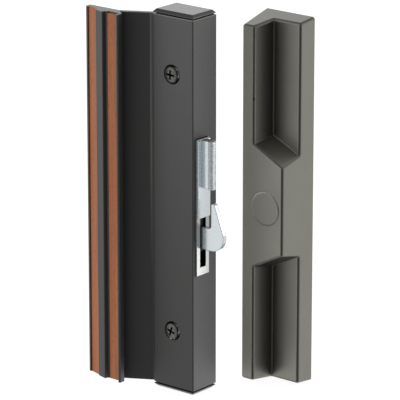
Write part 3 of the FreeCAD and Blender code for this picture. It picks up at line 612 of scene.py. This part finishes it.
@dataclass(frozen=True)
class PaintedCasting(Finish):
    """Die-cast metal under warm dark grey paint: matt, with the orange peel of sprayed paint."""

    colour: str = "#676660"
    shade: str = "#6c6b65"
    patch: float = 9.0
    patch_octaves: float = 3.0
    peel: Grain = Grain(size=0.5, octaves=3.0, roughness=(0.33, 0.43), bump=0.08, depth=0.1)
    soft_edge: float = 0.3
    score_middle: Triple = (32.6, 12.5, -2.95)
    score_radius: float = 8.0
    score_filled: float = 0.5
    score_edge: float = 0.9
    score_line: float = 0.3
    # Painted highlight on the upper left of the scored circle's line.
    score_highlight: str = "#a6a59f"
    score_lit_side: Triple = (-0.8, 0.0, 0.6)
    ramp_side: Triple = (0.44, -0.2, 0.88)
    ramp_facing: Span = (0.97, 0.99)
    ramp_span: Span = (30.0, 19.0)
    # Painted light on the ramp: lighter towards its foot, darker towards the inner corner.
    ramp_painted_light: str = "#bdbbb2"
    nick: Triple = (25.4, 12.7, 49.0)
    nick_span: Span = (1.0, 0.5)
    nick_strength: float = 0.55
    nick_colour: str = "#1e1e1b"

    def scored(self, tree: bpy.types.NodeTree, place: bpy.types.NodeSocket
               ) -> tuple[bpy.types.NodeSocket, bpy.types.NodeSocket]:
        """Finds the scored circle, which paint has half filled, with a painted highlight on its
        upper left.

        Args:
            tree: Node tree.
            place: Coordinates in millimetres.

        Returns:
            The radius of the softened edges in metres, and the strength of the painted highlight.
        """
        away = add_node(tree, "VectorMath", {0: place, 1: self.score_middle}, operation="DISTANCE")
        filled = add_node(tree, "Math", {0: away.outputs["Value"], 1: self.score_radius,
                                         2: self.score_filled}, operation="COMPARE")
        edge = add_node(tree, "MapRange", {"Value": filled.outputs[0],
                                           "To Min": self.soft_edge * MM,
                                           "To Max": self.score_edge * MM})
        line = add_node(tree, "Math", {0: away.outputs["Value"], 1: self.score_radius,
                                       2: self.score_line}, operation="COMPARE")
        # Painted highlight along the circle's line on its upper left side.
        offset = add_node(tree, "VectorMath", {0: place, 1: self.score_middle},
                          operation="SUBTRACT")
        along = add_node(tree, "VectorMath", {0: offset.outputs["Vector"], 1: self.score_lit_side},
                         operation="DOT_PRODUCT")
        arc = add_node(tree, "MapRange", {"Value": along.outputs["Value"],
                                          **span((0.0, self.score_radius))})
        painted_light = add_node(tree, "Math", {0: arc.outputs["Result"], 1: line.outputs[0]},
                          operation="MULTIPLY")
        return edge.outputs["Result"], painted_light.outputs[0]

    def on_ramp(self, tree: bpy.types.NodeTree,
                place: bpy.types.NodeSocket) -> bpy.types.NodeSocket:
        """Finds the ramp of the upper recess, which has painted light, strongest at its foot.

        Args:
            tree: Node tree.
            place: Coordinates in millimetres.

        Returns:
            How strong the painted light on the ramp is.
        """
        axes = add_node(tree, "SeparateXYZ", {"Vector": place})
        shape = add_node(tree, "NewGeometry")
        facing = add_node(tree, "VectorMath", {0: shape.outputs["True Normal"], 1: self.ramp_side},
                          operation="DOT_PRODUCT")
        ramp = add_node(tree, "MapRange", {"Value": facing.outputs["Value"],
                                           **span(self.ramp_facing)})
        low = add_node(tree, "MapRange", {"Value": axes.outputs["Z"], **span(self.ramp_span)})
        # Painted light: the ramp lighter towards its foot.
        ramp_light = add_node(tree, "Math", {0: ramp.outputs["Result"], 1: low.outputs["Result"]},
                            operation="MULTIPLY")
        return ramp_light.outputs[0]

    def build(self) -> bpy.types.Material:
        """Makes the material.

        Returns:
            The finished material.
        """
        material, tree, shader, place = self.begin()
        patches = self.stretched(tree, place, self.patch, self.patch_octaves)
        edge, painted_light = self.scored(tree, place)
        rough, normal = self.grained(tree, place, self.peel, edge)
        apart = add_node(tree, "VectorMath", {0: place, 1: self.nick}, operation="DISTANCE")
        nicked = add_node(tree, "MapRange", {"Value": apart.outputs["Value"],
                                             **span(self.nick_span), "To Max": self.nick_strength})
        colour = self.layers(tree, self.colour, [
            (patches, self.shade), (painted_light, self.score_highlight),
            (self.on_ramp(tree, place), self.ramp_painted_light),
            (nicked.outputs["Result"], self.nick_colour)])
        feed(tree, shader, {"Base Color": colour, "Roughness": rough, "Normal": normal,
                            "Metallic": 1.0})
        return material


@dataclass(frozen=True)
class SpringSteel(Finish):
    """Rolled spring steel: grey metal with fine rolling lines along the strip."""

    colour: str = "#9aa0a4"
    shade: str = "#868c90"
    roll: Triple = (0.4, 0.4, 12.0)
    roughness: float = 0.32

    def build(self) -> bpy.types.Material:
        """Makes the material.

        Returns:
            The finished material.
        """
        material, tree, shader, place = self.begin()
        lines = self.stretched(tree, place, self.roll)
        feed(tree, shader, {"Base Color": self.layers(tree, self.colour, [(lines, self.shade)]),
                            "Roughness": self.roughness, "Metallic": 1.0})
        return material


def coat(solid: bpy.types.Object, material: bpy.types.Material) -> None:
    """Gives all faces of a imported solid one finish."""
    solid.data.materials.clear()
    solid.data.materials.append(material)


@dataclass
class MountingScrew:
    """A machine screw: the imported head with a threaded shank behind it. Sizes in millimetres."""

    solid: Solid
    centre_z: float
    chips: tuple[Chip, ...]
    cut_y: float = -12.0
    tip_y: float = 11.6
    radius: float = 2.1
    core: float = 1.62
    pitch: float = 0.79
    steps: int = 24
    spare_turns: int = 2
    head_weld: float = 0.001
    thread_weld: float = 0.0001
    body: str = "handle"
    slot: str = "black_screw"

    def trim(self, shape: bmesh.types.BMesh, y: float, outward: int) -> None:
        """Cuts a shape flat across the screw's axis and closes the cut.

        Args:
            shape: Shape that is cut.
            y: Place of the cut.
            outward: Side that is cut away, 1 for +Y and -1 for -Y.
        """
        cut = bmesh.ops.bisect_plane(shape, geom=shape.verts[:] + shape.edges[:] + shape.faces[:],
                                     plane_co=(0, y * MM, 0), plane_no=(0, outward, 0),
                                     clear_outer=True)
        rim = [item for item in cut["geom_cut"] if isinstance(item, bmesh.types.BMEdge)]
        bmesh.ops.contextual_create(shape, geom=rim)

    def thread(self) -> bpy.types.Mesh:
        """Sweeps one thread profile along its helix and trims both ends flat.

        Returns:
            A closed mesh of the threaded shank.
        """
        turns = math.ceil((self.tip_y - self.cut_y) / self.pitch) + self.spare_turns
        start = self.cut_y - self.pitch
        profile = ((self.core, start), (self.radius, start + self.pitch / 2),
                   (self.core, start + self.pitch))
        shank = bmesh.new()
        points = [shank.verts.new(Vector((r, y, self.centre_z)) * MM) for r, y in profile]
        edges = [shank.edges.new(pair) for pair in zip(points, points[1:])]
        bmesh.ops.spin(shank, geom=points + edges, cent=Vector((0, 0, self.centre_z)) * MM,
                       axis=(0, -1, 0), dvec=Vector((0, self.pitch / self.steps, 0)) * MM,
                       angle=2 * math.pi * turns, steps=self.steps * turns, use_merge=False,
                       use_duplicate=False)
        bmesh.ops.remove_doubles(shank, verts=shank.verts, dist=self.thread_weld * MM)
        self.trim(shank, self.cut_y, -1)
        self.trim(shank, self.tip_y, 1)
        bmesh.ops.recalc_face_normals(shank, faces=shank.faces)
        mesh = bpy.data.meshes.new(f"{self.solid.value}_thread")
        shank.to_mesh(mesh)
        shank.free()
        return mesh

    def build(self, packed: bpy.types.Object) -> bpy.types.Object:
        """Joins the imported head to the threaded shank.

        Args:
            packed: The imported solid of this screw.

        Returns:
            The finished piece, which stands for the solid.
        """
        head = bmesh.new()
        head.from_mesh(packed.data)
        bmesh.ops.remove_doubles(head, verts=head.verts, dist=self.head_weld * MM)
        self.trim(head, self.cut_y, 1)
        thread = self.thread()
        head.from_mesh(thread)
        bpy.data.meshes.remove(thread)
        name = f"threaded_{self.solid.value}"
        mesh = bpy.data.meshes.new(name)
        head.to_mesh(mesh)
        head.free()
        piece = bpy.data.objects.new(name, mesh)
        bpy.context.scene.collection.objects.link(piece)
        finish = BlackedSteel(f"blacked steel {self.solid.value}", self.chips)
        mesh.materials.append(finish.build())
        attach(piece, self.body)
        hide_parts(self.solid.value)
        return piece


@dataclass
class InsideHandle:
    """The extruded handle with its caps, strips and screws. Places in millimetres."""

    solids: dict[Solid, bpy.types.Object]
    screw_z: float = 62.7
    upper_chips: tuple[Chip, ...] = ((4.0, -17.1, 62.2, 0.3),)
    lower_chips: tuple[Chip, ...] = ((-0.6, -17.1, -66.7, 0.7), (1.6, -17.1, -66.5, 0.35),
                                     (4.1, -17.1, -62.6, 0.35))
    # Painted shadow of the gap above the lower cap, at part strength.
    lower_gap_shadow_span: Span = (-92.2, 0.0)
    lower_gap_shadow_strength: float = 0.55

    def dress(self) -> None:
        """Gives the solids their finishes."""
        coat(self.solids[Solid.SECTION], AnodisedAluminium("anodised aluminium").build())
        coat(self.solids[Solid.TOP_CAP], MouldedPlastic("moulded black plastic").build())
        # The lower cap has a weaker painted gap shadow.
        lower = MouldedPlastic("gap_shadowed black plastic", gap_shadow_span=self.lower_gap_shadow_span,
                               gap_shadow_strength=self.lower_gap_shadow_strength)
        coat(self.solids[Solid.BOTTOM_CAP], lower.build())
        wood = OiledHardwood("oiled hardwood").build()
        for strip in (Solid.INNER_STRIP, Solid.OUTER_STRIP):
            coat(self.solids[strip], wood)

    def build(self) -> list[bpy.types.Object]:
        """Makes the two screws.

        Returns:
            The new pieces.
        """
        upper = MountingScrew(Solid.UPPER_SCREW, self.screw_z, self.upper_chips)
        lower = MountingScrew(Solid.LOWER_SCREW, -self.screw_z, self.lower_chips)
        return [screw.build(self.solids[screw.solid]) for screw in (upper, lower)]


@dataclass
class HookLatch:
    """The plated latch: case, slide with its thumb tab, keeper, hook and friction spring."""

    solids: dict[Solid, bpy.types.Object]
    # The hook's painted dark edge line is wider.
    hook_edge_shade: EdgeZone = EdgeZone(width=0.9)
    case_colour: str = "#bcbebb"
    case_shade: str = "#abaeab"

    def dress(self) -> None:
        """Gives the solids their finishes."""
        plate = ZincPlate("zinc plate").build()
        for plated in (Solid.SLIDE, Solid.KEEPER):
            coat(self.solids[plated], plate)
        # The hook has painted shade on its outward lower rim and a wider painted dark edge line.
        hook = ZincPlate("rubbed zinc plate", edge_shade=self.hook_edge_shade, rim_shade_strength=1.0)
        coat(self.solids[Solid.HOOK], hook.build())
        case = ZincPlate("dull zinc plate", colour=self.case_colour, shade=self.case_shade)
        coat(self.solids[Solid.CASE], case.build())
        coat(self.solids[Solid.SPRING], SpringSteel("spring steel").build())


@dataclass
class OutsidePull:
    """The cast pull that goes on the outer side of the door."""

    solids: dict[Solid, bpy.types.Object]

    def dress(self) -> None:
        """Gives the solid its finish."""
        coat(self.solids[Solid.PULL], PaintedCasting("painted casting").build())


@dataclass(frozen=True)
class Softbox:
    """A square soft light that reaches only some of the pieces. Sizes in millimetres."""

    name: str
    target: Triple
    side: Triple
    radiance: float
    distance: float = 1200.0
    size: float = 1800.0
    colour: str = WHITE

    def build(self, lit: list[bpy.types.Object], casters: list[bpy.types.Object]) -> None:
        """Adds the light.

        Args:
            lit: Pieces that the light reaches.
            casters: Pieces that cast its shadows.
        """
        light = bpy.data.lights.new(self.name, "AREA")
        light.shape = "SQUARE"
        light.size = self.size * MM
        light.energy = self.radiance * math.pi * light.size ** 2
        light.color = linear(self.colour)[:3]
        lamp = bpy.data.objects.new(self.name, light)
        away = Vector(self.side).normalized()
        place = (Vector(self.target) + away * self.distance) * MM
        lamp.matrix_world = Matrix.LocRotScale(place, (-away).to_track_quat("-Z", "Y"), None)
        lamp.visible_camera = False
        bpy.context.scene.collection.objects.link(lamp)
        links = lamp.light_linking
        links.receiver_collection = bpy.data.collections.new(f"{self.name} lit")
        links.blocker_collection = bpy.data.collections.new(f"{self.name} casters")
        for piece in lit:
            links.receiver_collection.objects.link(piece)
        for piece in casters:
            links.blocker_collection.objects.link(piece)


@dataclass(frozen=True)
class Lobe:
    """A side of the white surround, brighter or darker than the rest. Angles in degrees."""

    side: Triple
    inner: float
    outer: float
    level: float

    def add(self, tree: bpy.types.NodeTree) -> bpy.types.NodeSocket:
        """Adds this side to the world.

        Args:
            tree: Node tree of the world.

        Returns:
            The brightness, which is one outside the lobe.
        """
        direction = add_node(tree, "TexCoord")
        facing = add_node(tree, "VectorMath", {0: direction.outputs["Generated"],
                                               1: Vector(self.side).normalized()},
                          operation="DOT_PRODUCT")
        cosines = tuple(math.cos(math.radians(angle)) for angle in (self.outer, self.inner))
        ramp = add_node(tree, "MapRange", {"Value": facing.outputs["Value"], **span(cosines),
                                           "To Min": 1.0, "To Max": self.level},
                        interpolation_type="SMOOTHSTEP")
        return ramp.outputs["Result"]


@dataclass
class Studio:
    """Floor, soft lights and the camera at the photograph's angle.

    Places in millimetres, angles in degrees, the camera's clipping in metres.
    """

    floor_z: float = -92.65
    floor_side: float = 6000.0
    floor_colour: str = "#868686"
    floor_roughness: float = 0.9
    floor_glow: float = 0.92
    lobes: tuple[Lobe, ...] = (
        Lobe(side=(0.62, -0.76, -0.2), inner=18.0, outer=62.0, level=0.14),
        Lobe(side=(-0.61, 0.74, 0.29), inner=15.0, outer=60.0, level=1.5),
        Lobe(side=(0.61, 0.74, -0.29), inner=15.0, outer=50.0, level=1.6),
        Lobe(side=(0.0, 0.0, 1.0), inner=42.0, outer=68.0, level=0.42),
    )
    jamb_light: Softbox = Softbox("jamb softbox", target=(13.0, -8.0, 0.0),
                                  side=(0.61, 0.74, -0.29), radiance=0.76)
    face_light: Softbox = Softbox("face softbox", target=(0.0, -17.0, 175.0),
                                  side=(-0.61, -0.74, -0.29), radiance=1.3, distance=350.0,
                                  size=260.0)
    latch_light: Softbox = Softbox("latch softbox", target=(16.0, -11.0, 5.0),
                                   side=(0.61, -0.74, -0.29), radiance=0.45, distance=800.0,
                                   size=600.0, colour="#dcf4ff")
    pull_light: Softbox = Softbox("pull softbox", target=(30.0, 12.0, 300.0),
                                  side=(-0.61, -0.74, -0.29), radiance=1.0, distance=900.0,
                                  size=1000.0)
    aim: Triple = (10.72, -8.98, 2.31)
    azimuth: float = 39.314
    elevation: float = 16.925
    distance: float = 1561.6
    lens: float = 300.5
    sensor: float = 36.0
    clip: Span = (0.05, 20.0)

    def build_floor(self) -> None:
        """Adds the plain pale floor."""
        floor = bmesh.new()
        bmesh.ops.create_grid(floor, x_segments=1, y_segments=1, size=self.floor_side / 2 * MM,
                              matrix=Matrix.Translation((0, 0, self.floor_z * MM)))
        mesh = bpy.data.meshes.new("floor")
        floor.to_mesh(mesh)
        floor.free()
        piece = bpy.data.objects.new("floor", mesh)
        bpy.context.scene.collection.objects.link(piece)
        material = bpy.data.materials.new("pale floor")
        material.use_nodes = True
        tree = material.node_tree
        feed(tree, tree.nodes["Principled BSDF"], {"Base Color": linear(self.floor_colour),
                                                   "Roughness": self.floor_roughness,
                                                   "Emission Color": linear(WHITE),
                                                   "Emission Strength": self.floor_glow})
        mesh.materials.append(material)
        piece.visible_glossy = False

    def build_light(self, section: bpy.types.Object, latch: list[bpy.types.Object],
                    handle: list[bpy.types.Object], pull: list[bpy.types.Object]) -> None:
        """Adds the soft lights and a white surround, which is dark behind the camera.

        Args:
            section: The handle's extruded section.
            latch: Plated pieces of the latch that show.
            handle: Pieces of the inside handle and its latch.
            pull: Pieces of the outside pull.
        """
        self.jamb_light.build(handle, handle)
        self.face_light.build([section], handle)
        self.latch_light.build(latch, handle)
        self.pull_light.build(pull, pull)
        world = bpy.data.worlds.new("white surround")
        world.use_nodes = True
        tree = world.node_tree
        brightness: SocketValue = 1.0
        for lobe in self.lobes:
            product = add_node(tree, "Math", {0: lobe.add(tree), 1: brightness},
                               operation="MULTIPLY")
            brightness = product.outputs[0]
        path = add_node(tree, "LightPath")
        seen = add_node(tree, "Mix", {"Factor": path.outputs["Is Camera Ray"],
                                      BLEND_UNDER: brightness, BLEND_OVER: 1.0})
        feed(tree, tree.nodes["Background"], {"Color": linear(WHITE),
                                              "Strength": seen.outputs[BLEND_RESULT]})
        bpy.context.scene.world = world
        bpy.context.scene.view_settings.view_transform = "Standard"

    def build_camera(self) -> None:
        """Adds the camera."""
        turn, lift = math.radians(self.azimuth), math.radians(self.elevation)
        back = Vector((math.sin(turn) * math.cos(lift), -math.cos(turn) * math.cos(lift),
                       math.sin(lift)))
        place = (Vector(self.aim) + back * self.distance) * MM
        camera = bpy.data.objects.new("camera", bpy.data.cameras.new("camera"))
        camera.data.lens = self.lens
        camera.data.sensor_width = self.sensor
        camera.data.clip_start, camera.data.clip_end = self.clip
        camera.matrix_world = Matrix.LocRotScale(place, (-back).to_track_quat("-Z", "Y"), None)
        bpy.context.scene.collection.objects.link(camera)
        bpy.context.scene.camera = camera


def main() -> None:
    """Builds the sub-assemblies in order and reports each piece."""
    logging.basicConfig(level=logging.INFO, format="%(name)s: %(message)s")
    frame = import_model()
    solids = {solid: frame["nodes"][solid.value] for solid in Solid}
    handle = InsideHandle(solids)
    handle.dress()
    screws = handle.build()
    for piece in screws:
        LOG.info("%s: %d faces", piece.name, len(piece.data.polygons))
    HookLatch(solids).dress()
    OutsidePull(solids).dress()
    for solid, node in solids.items():
        LOG.info("%s dressed with %s", solid.value, node.data.materials[0].name)
    studio = Studio()
    studio.build_floor()
    inside = [node for solid, node in solids.items() if solid is not Solid.PULL] + screws
    plated = [solids[solid] for solid in (Solid.CASE, Solid.SLIDE, Solid.HOOK)]
    studio.build_light(solids[Solid.SECTION], plated, inside, [solids[Solid.PULL]])
    studio.build_camera()


if __name__ == "__main__":
    main()
